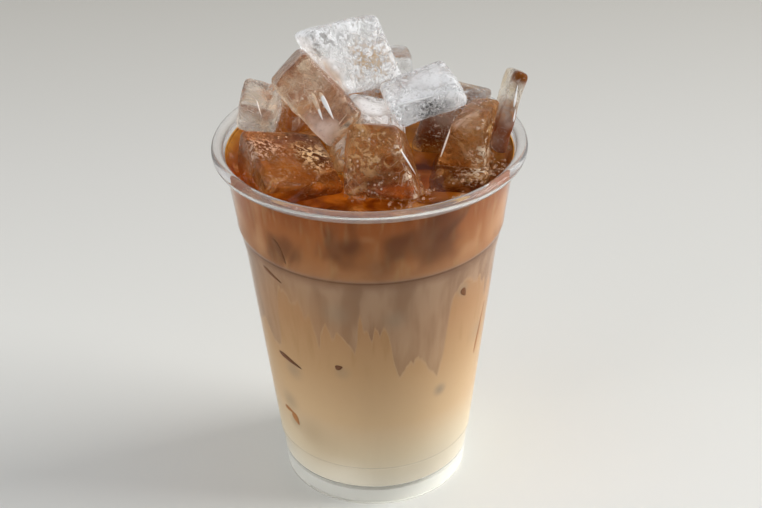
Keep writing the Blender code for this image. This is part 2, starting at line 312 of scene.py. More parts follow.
def turned(name, profile, sides):
    """A closed turned piece: a circle extruded ring by ring, its ends merged on the axis."""
    deselect()
    (r, z), rest = profile[0], profile[1:]
    bpy.ops.mesh.primitive_circle_add(vertices=sides, radius=r, location=(0, 0, 0), fill_type="NOTHING")
    piece = named(name)
    bpy.ops.object.mode_set(mode="EDIT")
    bpy.ops.mesh.select_all(action="SELECT")
    bpy.ops.transform.translate(value=(0, 0, z))
    for next_r, next_z in rest:
        bpy.ops.mesh.extrude_region_move(TRANSFORM_OT_translate={"value": (0, 0, next_z - z)})
        bpy.ops.transform.resize(value=(next_r / r, next_r / r, 1), center_override=(0, 0, next_z))
        r, z = next_r, next_z
    bpy.ops.mesh.extrude_region_move(TRANSFORM_OT_translate={"value": (0, 0, 0)})
    bpy.ops.mesh.merge(type="CENTER")
    bpy.ops.mesh.select_all(action="DESELECT")
    bpy.ops.mesh.select_mode(type="EDGE")
    bpy.ops.mesh.select_non_manifold()
    bpy.ops.mesh.extrude_region_move(TRANSFORM_OT_translate={"value": (0, 0, 0)})
    bpy.ops.mesh.merge(type="CENTER")
    bpy.ops.mesh.select_mode(type="VERT")
    bpy.ops.mesh.select_all(action="SELECT")
    bpy.ops.mesh.normals_make_consistent(inside=False)
    bpy.ops.object.mode_set(mode="OBJECT")
    return piece


def arc(centre_r, centre_z, radius, start, end, steps):
    points = []
    for i in range(steps + 1):
        a = math.radians(start + (end - start) * i / steps)
        points.append((centre_r + radius * math.cos(a), centre_z + radius * math.sin(a)))
    return points


def wall_radius(z):
    """Outer radius of the cup's wall at a height, below the lip."""
    upper_slope = (RIM_RADIUS - 2 * LIP_RADIUS - STEP_RADIUS) / (CUP_HEIGHT - 2 * LIP_RADIUS - STEP_Z)
    if z >= STEP_Z:
        return STEP_RADIUS + (z - STEP_Z) * upper_slope
    if z >= BELOW_STEP_Z:
        t = (STEP_Z - z) / (STEP_Z - BELOW_STEP_Z)
        return STEP_RADIUS + (BELOW_STEP_RADIUS - STEP_RADIUS) * t
    if z >= CONE_TOP_Z:
        t = (BELOW_STEP_Z - z) / (BELOW_STEP_Z - CONE_TOP_Z)
        return BELOW_STEP_RADIUS + (CONE_TOP_RADIUS - BELOW_STEP_RADIUS) * t
    if z > BEAD_Z:
        return BEAD_RADIUS + (CONE_TOP_RADIUS - BEAD_RADIUS) * (z - BEAD_Z) / (CONE_TOP_Z - BEAD_Z)
    low = BEAD_RADIUS - BEAD_DROP
    return FOOT_RADIUS + (low - FOOT_RADIUS) * z / BEAD_Z


# Materials

def set_inputs(tree, node, **inputs):
    """Sets or links a node's inputs. An input may be named by i and its number."""
    for key, value in inputs.items():
        socket = node.inputs[int(key[1:]) if key[1:].isdigit() else key.replace("_", " ")]
        if isinstance(value, bpy.types.NodeSocket):
            tree.links.new(value, socket)
        else:
            socket.default_value = value


def add_node(tree, kind, options=None, **inputs):
    node = tree.nodes.new("ShaderNode" + kind)
    for key, value in (options or {}).items():
        setattr(node, key, value)
    set_inputs(tree, node, **inputs)
    return node


def new_material(name):
    made = bpy.data.materials.new(name)
    made.use_nodes = True
    tree = made.node_tree
    tree.nodes.clear()
    output = tree.nodes.new("ShaderNodeOutputMaterial")
    shader = tree.nodes.new("ShaderNodeBsdfPrincipled")
    tree.links.new(shader.outputs["BSDF"], output.inputs["Surface"])
    return made, tree, shader


def let_light_through(tree, shader, colour):
    """Lets the lamps' light pass straight through a clear piece, so that what it holds is lit."""
    clear = add_node(tree, "BsdfTransparent", Color=(*colour, 1))
    path = add_node(tree, "LightPath")
    both = add_node(tree, "MixShader", Fac=path.outputs["Is Shadow Ray"], i1=shader.outputs["BSDF"],
                    i2=clear.outputs["BSDF"])
    output = next(node for node in tree.nodes if node.type == "OUTPUT_MATERIAL")
    tree.links.new(both.outputs["Shader"], output.inputs["Surface"])
    return output


def dress(piece, *materials):
    piece.data.materials.clear()
    for material in materials:
        piece.data.materials.append(material)


def ramp(tree, value, stops):
    node = add_node(tree, "ValToRGB", Fac=value)
    elements = node.color_ramp.elements
    while len(elements) > 1:
        elements.remove(elements[-1])
    elements[0].position = stops[0][0]
    elements[0].color = (*stops[0][1], 1)
    for place, colour in stops[1:]:
        elements.new(place).color = (*colour, 1)
    return node.outputs["Color"]


def object_coordinates(tree):
    return add_node(tree, "TexCoord").outputs["Object"]


def scaled(tree, coords, stretch):
    return add_node(tree, "Mapping", Vector=coords, Scale=stretch).outputs["Vector"]


def noise_value(tree, coords, scale, detail=2.0, distortion=0.0, roughness=0.5):
    return add_node(tree, "TexNoise", Vector=coords, Scale=scale, Detail=detail, Distortion=distortion,
                    Roughness=roughness).outputs["Fac"]


def cells(tree, coords, scale, feature="F1"):
    return add_node(tree, "TexVoronoi", {"feature": feature}, Vector=coords, Scale=scale).outputs["Distance"]


def point_value(tree, name):
    return add_node(tree, "Attribute", {"attribute_name": name}).outputs["Fac"]


def math_value(tree, operation, a, b=0.0):
    return add_node(tree, "Math", {"operation": operation}, i0=a, i1=b).outputs[0]


def bumps(tree, height, strength, distance, **under):
    return add_node(tree, "Bump", Height=height, Strength=strength, Distance=distance,
                    **under).outputs["Normal"]


def product(tree, a, b):
    return math_value(tree, "MULTIPLY", a, b)


def larger(tree, a, b):
    return math_value(tree, "MAXIMUM", a, b)


def vector_maths(tree, operation, a, b):
    return add_node(tree, "VectorMath", {"operation": operation}, i0=a, i1=b)


def linear(tree, value, low, high, to_low=0.0, to_high=1.0):
    return add_node(tree, "MapRange", Value=value, From_Min=low, From_Max=high, To_Min=to_low,
                    To_Max=to_high).outputs["Result"]


def eased(tree, value, low, high, to_low=0.0, to_high=1.0):
    return add_node(tree, "MapRange", {"interpolation_type": "SMOOTHSTEP"}, Value=value, From_Min=low,
                    From_Max=high, To_Min=to_low, To_Max=to_high).outputs["Result"]


def mixed_colour(tree, factor, a, b, blend="MIX"):
    node = add_node(tree, "Mix", {"data_type": "RGBA", "blend_type": blend}, i0=factor)
    for socket, value in ((node.inputs[6], a), (node.inputs[7], b)):
        if isinstance(value, bpy.types.NodeSocket):
            tree.links.new(value, socket)
        else:
            socket.default_value = (*value, 1)
    return node.outputs[2]


def crooked_coordinates(tree, coords, scale, amount):
    """Coordinates pushed about by a noise, so that straight and round edges become crooked."""
    push = add_node(tree, "TexNoise", Vector=coords, Scale=scale, Detail=2.0).outputs["Color"]
    push = add_node(tree, "VectorMath", {"operation": "MULTIPLY_ADD"}, i0=push, i1=[amount] * 3,
                    i2=[-0.5 * amount] * 3).outputs["Vector"]
    return vector_maths(tree, "ADD", coords, push).outputs["Vector"]


def at_wall(angle, z):
    """The place in mm on the wall at an angle in degrees from the front and a height in mm."""
    turn, reach = math.radians(angle), wall_radius(z * MM) / MM
    return reach * math.sin(turn), -reach * math.cos(turn), z


def spot(tree, coords, place, radius, softness):
    """1 at a place, given in mm, falling to 0 at its radius."""
    away = vector_maths(tree, "DISTANCE", coords, [c * MM for c in place]).outputs["Value"]
    return eased(tree, away, radius * MM * (1 - softness), radius * MM, 1.0, 0.0)


def plastic_material(name, bend, clear, tint=None, outline=None):
    """Clear plastic. The thin wall bends light less than the solid lip, and the foot is a little milky."""
    made, tree, shader = new_material(name)
    cup = settings("cup")
    ripples = noise_value(tree, scaled(tree, object_coordinates(tree), (1, 1, 0.3)), 90, 2)
    set_inputs(tree, shader, Base_Color=(*(tint or cup.tint), 1), Roughness=cup.roughness,
               Transmission_Weight=clear, IOR=bend, Normal=bumps(tree, ripples, 0.15, 0.3 * MM))
    # The outline is painted shade: the colour darkens where the plastic is seen edge-on
    if outline:
        facing = add_node(tree, "LayerWeight", Blend=0.5).outputs["Facing"]
        edge = mixed_colour(tree, eased(tree, facing, 0.45, 0.95), tint, outline)
        set_inputs(tree, shader, Base_Color=edge)
    let_light_through(tree, shader, (0.97, 0.98, 0.98))
    return made


def drink_material(name):
    """The layers as seen through the wall: coffee, fading to milk, with the greyish tongues between, and
    painted shade and light from the sunken ice.
    """
    made, tree, shader = new_material(name)
    coords = object_coordinates(tree)
    height = linear(tree, add_node(tree, "SeparateXYZ", i0=coords).outputs["Z"], FLOOR_Z, LEVEL)
    colour = ramp(tree, height, DRINK_COLOURS)
    lower = eased(tree, height, 0.40, 0.58)
    streaks = noise_value(tree, scaled(tree, coords, (1, 1, 0.07)), 520, 3, 0.3)
    streaks = product(tree, eased(tree, streaks, 0.5, 0.7, 0.0, 0.5), lower)
    colour = mixed_colour(tree, streaks, colour, (0.34, 0.19, 0.08))
    ragged = noise_value(tree, scaled(tree, coords, (1, 1, 0.12)), 800, 2)
    ragged = product(tree, math_value(tree, "SUBTRACT", ragged, 0.5), RAGGEDNESS)
    edge = math_value(tree, "ADD", point_value(tree, "above_tongues"), ragged)
    below_step = eased(tree, height, 0.80, 0.775)
    depth = linear(tree, height, 0.42, 0.78, 0.55, 0.85)
    tongue = product(tree, eased(tree, edge, 0.0, 1.0), product(tree, depth, below_step))
    faint = spot(tree, coords, at_wall(*FAINT_PLACE), FAINT_RADIUS, 1.0)
    tongue = product(tree, tongue, linear(tree, faint, 0.0, 1.0, 1.0, 0.35))
    veil = noise_value(tree, scaled(tree, coords, (1, 1, 0.2)), 190, 3)
    mauve = mixed_colour(tree, eased(tree, veil, 0.35, 0.65), MAUVE_DARK, MAUVE_PALE)
    under = eased(tree, height, 0.74, 0.785)
    mauve = mixed_colour(tree, under, mauve, MAUVE_UNDER_STEP)
    colour = mixed_colour(tree, tongue, colour, mauve)
    outline = eased(tree, math_value(tree, "ABSOLUTE", edge), 0.0, 1.1, 0.2, 0.0)
    colour = mixed_colour(tree, product(tree, outline, below_step), colour, TONGUE_OUTLINE)
    # A painted shade line where the cup's step creases the wall
    step_shade_line = math_value(tree, "ABSOLUTE", math_value(tree, "SUBTRACT", height, STEP_SHADE_HEIGHT))
    colour = mixed_colour(tree, eased(tree, step_shade_line, 0.0, 0.006, 0.55, 0.0), colour, DARK)
    # Painted shade and painted light that sunken ice casts in the coffee's upper band
    shadows = noise_value(tree, scaled(tree, coords, (1, 1, 0.7)), 85, 2, 0.6)
    upper = eased(tree, height, 0.74, 0.84)
    dark = product(tree, eased(tree, shadows, 0.50, 0.70, 0.0, 0.55), upper)
    colour = mixed_colour(tree, dark, colour, DARK)
    lights = noise_value(tree, scaled(tree, coords, (1.3, 1.3, 0.35)), 95, 2, 0.5)
    light = product(tree, eased(tree, lights, 0.54, 0.74, 0.0, 0.35), upper)
    colour = mixed_colour(tree, light, colour, LIGHT)
    crooked = crooked_coordinates(tree, coords, 60, 17 * MM)
    for angle, z, radius, shade, strength in COFFEE_PAINTED_LIGHT_AND_SHADE:
        mark = product(tree, spot(tree, crooked, at_wall(angle, z), radius, 0.8), upper)
        colour = mixed_colour(tree, product(tree, mark, SHADE_SHARE * strength), colour, shade)
    for angle, z, radius, shade, strength in MILK_PAINTED_LIGHT_AND_SHADE:
        mark = spot(tree, coords, at_wall(angle, z), radius, 1.0)
        colour = mixed_colour(tree, product(tree, mark, strength), colour, shade)
    set_inputs(tree, shader, Base_Color=colour, Roughness=0.5, Specular_IOR_Level=0.0, Sheen_Weight=0.22,
               Sheen_Roughness=0.5)
    return made


def deep_coffee_material():
    """The cloudy coffee under the clear surface: amber and brown clouds."""
    made, tree, shader = new_material("cloudy coffee")
    coords = object_coordinates(tree)
    clouds = noise_value(tree, coords, 70, 3, 1.2)
    colour = ramp(tree, clouds, CLOUD_COLOURS)
    flat = vector_maths(tree, "MULTIPLY", coords, (1, 1, 0)).outputs["Vector"]
    radius = add_node(tree, "VectorMath", {"operation": "LENGTH"}, i0=flat).outputs["Value"]
    by_wall = eased(tree, radius, 33 * MM, 42 * MM, 0.0, 0.6)
    colour = mixed_colour(tree, by_wall, colour, (0.48, 0.23, 0.04))
    crooked = crooked_coordinates(tree, coords, 90, 9 * MM)
    # The lighter patches are painted light
    for x, y, reach, shade in DEEP_PATCHES:
        patch = spot(tree, crooked, (x, y, DEEP_Z / MM), reach, 0.8)
        colour = mixed_colour(tree, product(tree, patch, PATCH_SHARE), colour, shade)
    scum = noise_value(tree, coords, 420, 4, 1.0, 0.6)
    for x, y, reach in FROTH_PATCHES:
        patch = spot(tree, coords, (x, y, DEEP_Z / MM), reach, 0.8)
        patch = product(tree, patch, eased(tree, scum, 0.38, 0.58, 0.3, 0.95))
        colour = mixed_colour(tree, patch, colour, (0.80, 0.60, 0.42))
    set_inputs(tree, shader, Base_Color=colour, Roughness=0.6, Specular_IOR_Level=0.0)
    return made


def clear_coffee_material():
    made, tree, shader = new_material("clear coffee")
    ripples = noise_value(tree, object_coordinates(tree), 160, 2)
    set_inputs(tree, shader, Base_Color=(1, 0.95, 0.88, 1), Roughness=0.02, Transmission_Weight=1.0, IOR=1.12,
               Normal=bumps(tree, ripples, 0.25, 0.3 * MM))
    output = let_light_through(tree, shader, (0.95, 0.93, 0.9))
    absorbing = add_node(tree, "VolumeAbsorption", Color=(0.80, 0.59, 0.12, 1), Density=95.0)
    tree.links.new(absorbing.outputs["Volume"], output.inputs["Volume"])
    return made


def bubble_material():
    made, tree, shader = new_material("froth")
    set_inputs(tree, shader, Base_Color=(0.95, 0.80, 0.66, 1), Roughness=0.05, Transmission_Weight=0.88,
               IOR=1.2)
    let_light_through(tree, shader, (0.9, 0.85, 0.8))
    return made


def wall_corner_shade_material():
    made, tree, shader = new_material("ice corner at the wall")
    # Painted shade: dark brown where the view through the ice falls into the dark, amber where it is slight
    colour = mixed_colour(tree, point_value(tree, "darkness"), (0.45, 0.20, 0.07), (0.085, 0.035, 0.022))
    set_inputs(tree, shader, Base_Color=colour, Roughness=0.5, Specular_IOR_Level=0.1)
    return made


def ice_material(name, look, marks):
    """Melting ice: clear inside, with pale clouds, cracks, small bubbles, flecks and marks of its own, a few
    of them painted light and shade.
    """
    made, tree, shader = new_material(name)
    coords = object_coordinates(tree)
    cloud = eased(tree, noise_value(tree, coords, look["cloud_scale"], 6, 1.0, 0.62), look["cloud_from"],
                  look["cloud_from"] + 0.16, 0.0, look["cloud"])
    crack_field = cells(tree, crooked_coordinates(tree, coords, 150, 5 * MM), 230, "DISTANCE_TO_EDGE")
    crack_area = eased(tree, noise_value(tree, coords, 95, 2), 0.48, 0.62)
    cracks = product(tree, eased(tree, crack_field, 0.0, 0.035, look["cracks"], 0.0), crack_area)
    grains = cells(tree, coords, 650)
    grain_area = eased(tree, noise_value(tree, coords, 120, 3), look["grain_from"], look["grain_from"] + 0.12)
    grain = product(tree, eased(tree, grains, 0.16, 0.34, look["grains"], 0.0), grain_area)
    deep = eased(tree, noise_value(tree, coords, 60, 2, 1.0), 0.4, 0.65)
    colour = mixed_colour(tree, deep, look["tint"], look["tint_deep"])
    for layer, shade in ((cloud, "cloud_colour"), (cracks, "crack_colour"), (grain, "grain_colour")):
        colour = mixed_colour(tree, layer, colour, look[shade])
    frost = larger(tree, cloud, cracks)
    cover = larger(tree, frost, grain)
    fleck_field = noise_value(tree, coords, 1000, 3, 0.8, 0.6)
    fleck_area = eased(tree, noise_value(tree, coords, 170, 2), 0.40, 0.58, 0.25, 1.0)
    flecks = product(tree, eased(tree, fleck_field, 0.55, 0.65, 0.0, look["flecks"]), fleck_area)
    pits = product(tree, eased(tree, fleck_field, 0.46, 0.38, 0.0, look["flecks"]), fleck_area)
    bend = eased(tree, point_value(tree, "bend"), 0.3, 0.8)
    frayed = noise_value(tree, coords, 520, 4, 0.5, 0.65)
    rim = product(tree, bend, eased(tree, frayed, 0.42, 0.58, 0.0, look["rim"]))
    colour = mixed_colour(tree, rim, colour, look["crack_colour"])
    cover = larger(tree, cover, product(tree, rim, 0.7))
    crooked = crooked_coordinates(tree, coords, 140, 8 * MM)
    for place, radius, shade, strength, texture in marks:
        mark = spot(tree, crooked, place, radius, 0.75)
        if texture:
            patchy = noise_value(tree, coords, texture, 5, 1.0, 0.6)
            spread = FINE_SPREAD if texture > FINE_TEXTURE else COARSE_SPREAD
            mark = product(tree, mark, eased(tree, patchy, NOISE_MIDDLE - spread, NOISE_MIDDLE + spread))
        mark = product(tree, mark, strength)
        colour = mixed_colour(tree, mark, colour, shade)
        hidden = STAIN_COVER if shade in STAINS else 1.0
        cover = larger(tree, cover, product(tree, mark, hidden))
    colour = mixed_colour(tree, flecks, colour, look["crack_colour"])
    colour = mixed_colour(tree, pits, colour, look["pit_colour"])
    cover = larger(tree, cover, product(tree, flecks, 0.8))
    cover = larger(tree, cover, product(tree, pits, 0.5))
    wobble = bumps(tree, noise_value(tree, coords, 130, 5, 0.5), look["wobble"], 0.8 * MM)
    set_inputs(tree, shader, Base_Color=colour, IOR=look["bend"],
               Normal=bumps(tree, cover, 0.7, 0.3 * MM, Normal=wobble),
               Transmission_Weight=linear(tree, cover, 0.0, 1.0, look["clear"], 0.12),
               Roughness=linear(tree, frost, 0.0, 1.0, 0.03, 0.35))
    let_light_through(tree, shader, look["shadow"])
    return made


def floor_material():
    made, tree, shader = new_material("pale floor")
    depth = add_node(tree, "SeparateXYZ", i0=object_coordinates(tree)).outputs["Y"]
    near = settings("stage").floor
    # Painted falloff of the light: the floor darkens from near to far
    colour = ramp(tree, linear(tree, depth, -0.2, 0.45), [
        (place, [part * share for part, share in zip(near, shares)]) for place, shares in FLOOR_PAINTED_FALLOFF])
    set_inputs(tree, shader, Base_Color=colour, Roughness=0.4, Specular_IOR_Level=0.25)
    return made


# Colours of the drink
MAUVE_DARK = (0.235, 0.135, 0.08)
MAUVE_PALE = (0.36, 0.23, 0.145)
MAUVE_UNDER_STEP = (0.20, 0.105, 0.06)
TONGUE_OUTLINE = (0.50, 0.36, 0.24)
RAGGEDNESS = 6.0                              # of the tongues' edge, in mm
FAINT_PLACE, FAINT_RADIUS = (-42, 74), 24     # where the tongues are fainter: angle, height and radius in mm
# The painted shade line under the cup's step
STEP_SHADE_HEIGHT = 0.782                         # of the dark line under the step, as a share of the level
CLOUD_COLOURS = [(0.36, (0.18, 0.065, 0.006)), (0.50, (0.37, 0.16, 0.016)), (0.66, (0.68, 0.40, 0.09))]
PATCH_SHARE, SHADE_SHARE = 0.85, 0.78         # of the strength of patches and shades
DRINK_COLOURS = [
    (0.0, (0.76, 0.70, 0.58)), (0.12, (0.67, 0.55, 0.38)), (0.26, (0.58, 0.40, 0.23)),
    (0.45, (0.455, 0.28, 0.14)), (0.62, (0.38, 0.205, 0.095)), (0.76, (0.35, 0.195, 0.10)),
    (0.79, (0.335, 0.175, 0.09)), (0.80, (0.34, 0.155, 0.066)), (0.86, (0.32, 0.125, 0.042)),
    (1.0, (0.26, 0.068, 0.012))]

# Painted shade and painted light that sunken ice casts in the coffee behind the wall: angle from the front,
# height and radius in mm, colour and strength. DARK, LIGHT and SHADOW are painted shade, light and shadow
DARK, LIGHT, SHADOW = (0.075, 0.024, 0.010), (0.50, 0.28, 0.14), (0.27, 0.215, 0.15)
COFFEE_PAINTED_LIGHT_AND_SHADE = (
    (-11, 102, 9, DARK, 0.75), (-41, 100, 8, DARK, 0.8), (12, 104, 10, DARK, 0.85),
    (28, 109, 13, DARK, 0.8), (23, 98, 7, DARK, 0.55), (31, 101, 10, DARK, 0.75),
    (3, 97, 7, DARK, 0.5), (-3, 107, 4, LIGHT, 0.45), (-1, 100, 3, LIGHT, 0.3),
    (-30, 112, 7, DARK, 0.25), (-54, 98, 7, LIGHT, 0.5), (44, 96, 7, LIGHT, 0.45),
    (64, 100, 10, LIGHT, 0.7), (-70, 104, 8, LIGHT, 0.6), (95, 104, 10, DARK, 0.7),
    (130, 108, 11, DARK, 0.7), (160, 99, 8, LIGHT, 0.5), (190, 106, 10, DARK, 0.7),
    (222, 100, 8, DARK, 0.6), (250, 108, 8, LIGHT, 0.5),
)
# The same in the milk: painted soft grey shade round the corners of ice, and near the bottom painted light on
# the left and painted shade on the right that even out the lamps' light
MILK_PAINTED_LIGHT_AND_SHADE = (
    (36.5, 43.5, 3.6, SHADOW, 0.75), (-16, 55, 4.0, SHADOW, 0.35), (45, 80.5, 4.0, SHADOW, 0.55),
    (-46, 50, 5.5, SHADOW, 0.45), (-54, 35, 6.0, SHADOW, 0.45), (-52, 27, 4.5, SHADOW, 0.4),
    (-40, 27, 9, (0.42, 0.30, 0.185), 0.45), (-17, 78, 7.0, SHADOW, 0.35), (10, 76, 6.0, SHADOW, 0.35),
    (64, 58, 7.0, SHADOW, 0.3), (-20, 8, 14, (0.88, 0.81, 0.68), 0.5),
    (-33, 24, 15, (0.46, 0.34, 0.21), 0.4), (48, 12, 22, (0.62, 0.54, 0.42), 0.5),
    (150, 60, 5.0, SHADOW, 0.4), (236, 52, 5.0, SHADOW, 0.4),
)

CLEAR_LOOK = dict(
    tint=(0.97, 0.985, 1.0), tint_deep=(0.88, 0.89, 0.90), clear=1.0, cloud=0.55, cloud_scale=150,
    cloud_from=0.52, cloud_colour=(0.88, 0.89, 0.90), cracks=0.9, crack_colour=(0.97, 0.97, 0.98), grains=0.8,
    grain_colour=(0.22, 0.20, 0.19), wobble=0.9, shadow=(0.9, 0.91, 0.92), bend=1.31, rim=0.8,
    grain_from=0.5, flecks=0.55, pit_colour=(0.46, 0.45, 0.44))
FROSTED_LOOK = dict(
    CLEAR_LOOK, cloud=0.75, cloud_from=0.43, cloud_scale=190, cloud_colour=(0.95, 0.96, 0.98), clear=0.88,
    grains=0.9, grain_colour=(0.40, 0.385, 0.37), grain_from=0.40, shadow=(0.85, 0.86, 0.87))
WARM_LOOK = dict(
    CLEAR_LOOK, tint=(0.93, 0.88, 0.80), tint_deep=(0.78, 0.66, 0.50), cloud_colour=(0.80, 0.74, 0.66))
STAINED_LOOK = dict(
    CLEAR_LOOK, tint=(0.84, 0.50, 0.20), tint_deep=(0.52, 0.22, 0.055), cloud=0.6, cloud_from=0.50,
    cloud_colour=(0.62, 0.40, 0.20), cracks=0.5, crack_colour=(0.90, 0.76, 0.64),
    grain_colour=(0.84, 0.72, 0.62), clear=0.97, shadow=(0.80, 0.62, 0.45), bend=1.24, flecks=0.38,
    pit_colour=(0.20, 0.08, 0.03))
PALE_STAINED_LOOK = dict(
    STAINED_LOOK, tint=(0.87, 0.70, 0.53), tint_deep=(0.60, 0.38, 0.25), cloud_colour=(0.66, 0.48, 0.33),
    clear=1.0, bend=1.29, flecks=0.25)
SHARD_LOOK = dict(WARM_LOOK, bend=1.12, flecks=0.15, pit_colour=(0.20, 0.10, 0.05))

# Which look each piece has, and its own marks, a few of them painted light and shade as noted: place and
# radius in mm, colour, strength, and the scale of the noise that breaks the mark up
WHITE, GREY, CREAM = (0.98, 0.985, 1.0), (0.30, 0.29, 0.28), (0.90, 0.78, 0.62)
VIOLET, AMBER, RUST = (0.26, 0.14, 0.11), (0.42, 0.14, 0.012), (0.13, 0.028, 0.003)
STAINS, STAIN_COVER = (AMBER, RUST, VIOLET), 0.45       # stains stay partly clear
NOISE_MIDDLE = 0.51
FINE_TEXTURE, FINE_SPREAD, COARSE_SPREAD = 300, 0.07, 0.17
ICE_LOOKS = {
    # On the top slab the white mark at its left end is white frost brightened as a painted highlight
    "ice_top_slab": (FROSTED_LOOK, [
        ((-20, 10.5, 147), 7, WHITE, 1.0, 0), ((-11.6, 4, 139.8), 6, WHITE, 0.9, 0),
        ((1.2, 9, 141.2), 11, (0.42, 0.27, 0.13), 0.9, 560),
        ((-14.4, 6.9, 149), 7, GREY, 0.95, 480), ((-6.9, 9.1, 147), 6, GREY, 0.8, 620)]),
    "ice_tall_cube": (PALE_STAINED_LOOK, [
        ((-25.2, 2.5, 144.1), 8, VIOLET, 0.5, 0), ((-18, -10.9, 145.5), 9, (0.40, 0.24, 0.14), 0.75, 120),
        ((-8.5, -12.8, 135.5), 7, VIOLET, 0.9, 120), ((-21, -10, 139), 6, CREAM, 0.8, 190),
        ((-14.5, -14, 129.5), 8, (0.84, 0.68, 0.60), 0.9, 0)]),
    # On the bridge slab the broad white mark is a painted reflection of the window on its top face, and the
    # plain grey marks below its ridge are painted shade
    "ice_bridge_slab": (FROSTED_LOOK, [
        ((28.9, -11.6, 137), 2.2, RUST, 0.6, 0), ((17, -5, 141.5), 10, WHITE, 0.8, 0),
        ((21, -14.3, 135), 7, GREY, 0.75, 0), ((12, -15.4, 134.5), 5, GREY, 0.5, 0),
        ((18.6, -14.5, 135.5), 7, (0.05, 0.05, 0.05), 1.0, 1400)]),
    "ice_shard": (SHARD_LOOK, [
        ((44.5, -8.2, 134.8), 3.5, CREAM, 0.7, 300), ((48, -5, 141), 7.5, (0.17, 0.05, 0.008), 1.0, 0),
        ((42, -7, 124), 14, (0.15, 0.028, 0.0), 1.0, 0), ((41.7, -10, 115), 14, (0.15, 0.028, 0.0), 1.0, 0),
        ((45, -7, 136), 5, (0.95, 0.88, 0.78), 0.7, 300),
        ((42, -9, 131), 4, AMBER, 0.8, 200)]),
    "ice_front_cube": (STAINED_LOOK, [
        ((0.7, -25.4, 126.5), 12, (0.66, 0.44, 0.23), 0.7, 420), ((4.7, -22.3, 132.5), 5, VIOLET, 0.7, 300),
        ((9.5, -27, 128), 4.5, CREAM, 0.85, 620), ((12.5, -30, 121), 4.5, CREAM, 0.85, 620),
        ((14, -31, 116), 4, CREAM, 0.8, 620), ((3, -32.1, 117.5), 8, RUST, 0.75, 120)]),
    "ice_front_left_cube": (STAINED_LOOK, [
        # The second mark below, lighter amber on the cube's lower right, is painted light over its shadow
        ((-23, -17, 115), 13, AMBER, 0.95, 0), ((-13, -24, 113), 9, (0.60, 0.25, 0.03), 0.95, 0),
        ((-38.5, -8, 123.5), 6, AMBER, 0.9, 0),
        ((-32, -22, 119), 6, AMBER, 0.8, 0), ((-31.7, -11.5, 122.2), 10, (0.88, 0.70, 0.60), 0.85, 800),
        ((-24, -18, 119), 8, (0.80, 0.56, 0.34), 0.4, 800), ((-31, -14, 114), 9, (0.24, 0.08, 0.01), 0.85, 0),
        ((-17.2, -7.5, 117), 10, (1.0, 0.86, 0.60), 1.0, 480),
        ((-27, -1, 121), 6, (0.20, 0.10, 0.06), 0.8, 150)]),
    "ice_left_piece": (WARM_LOOK, [
        ((-31, 2.6, 133.8), 2.5, AMBER, 0.7, 300), ((-33, 2, 127), 6, (0.50, 0.33, 0.17), 0.6, 250)]),
    "ice_right_cube": (STAINED_LOOK, [
        ((28.8, -15.3, 131.5), 8, (0.80, 0.56, 0.44), 0.85, 150),
        ((34, -3.3, 133), 7, (0.30, 0.14, 0.08), 0.8, 150), ((26, -11, 115.5), 9, AMBER, 0.95, 0),
        ((33.4, -14.8, 118.5), 7, CREAM, 1.0, 620), ((30.3, -15, 122), 5, (0.62, 0.40, 0.26), 0.6, 180),
        ((38, -8, 120), 6, (0.86, 0.70, 0.56), 0.9, 620)]),
    "ice_middle_cube": (FROSTED_LOOK, [((0, 6, 127), 11, WHITE, 0.9, 0)]),
    "ice_low_right_cube": (STAINED_LOOK, [
        ((38, -5, 115), 9, (0.66, 0.48, 0.36), 0.8, 0), ((34, -12, 114.5), 10, CREAM, 1.0, 560)]),
    "ice_back_cube": (CLEAR_LOOK, []),
    "ice_back_right_cube": (CLEAR_LOOK, [
        ((20, 3, 114), 15, (0.16, 0.055, 0.015), 0.95, 0), ((19, 8, 112), 12, RUST, 0.9, 0)]),
    "ice_back_left_cube": (PALE_STAINED_LOOK, []),
}


# Pieces

def finish_piece(piece, node, smooth=35):
    """Smooths a piece's shading, and hands it to the frame in the place of a node."""
    activate(piece)
    bpy.ops.object.shade_smooth_by_angle(angle=math.radians(smooth))
    if node:
        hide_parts(node)
    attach(piece, BODY)


